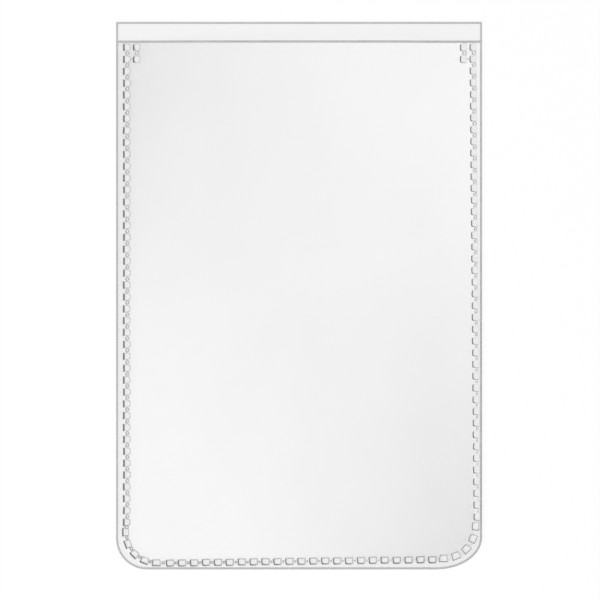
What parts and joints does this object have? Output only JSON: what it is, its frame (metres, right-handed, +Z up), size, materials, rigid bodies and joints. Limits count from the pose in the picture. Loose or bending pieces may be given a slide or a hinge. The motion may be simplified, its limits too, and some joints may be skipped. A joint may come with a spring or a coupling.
{
  "type": "badge holder",
  "caption": "Clear soft vinyl badge holder: an upright pocket of two films welded by a line of tooth prints, open at the top with a thumb lip.",
  "frame": {"origin": "centre of the holder's outline, on the back face of the back sheet", "axes": "+X to the right and +Y to the open mouth as seen from the front, +Z up out of the front sheet, so the holder lies on its back"},
  "size_m": [0.0616, 0.092, 0.0022],
  "materials": {
    "clear_vinyl": "clear soft film, glossy with a faint haze, greyer at its cut edges",
    "fused_vinyl": "the same film fused and pressed, with soft grey rims round each print"
  },
  "bodies": {
    "root": {"back_sheet": "clear_vinyl", "front_sheet": "clear_vinyl", "weld_seam": "fused_vinyl"}
  },
  "joints": []
}
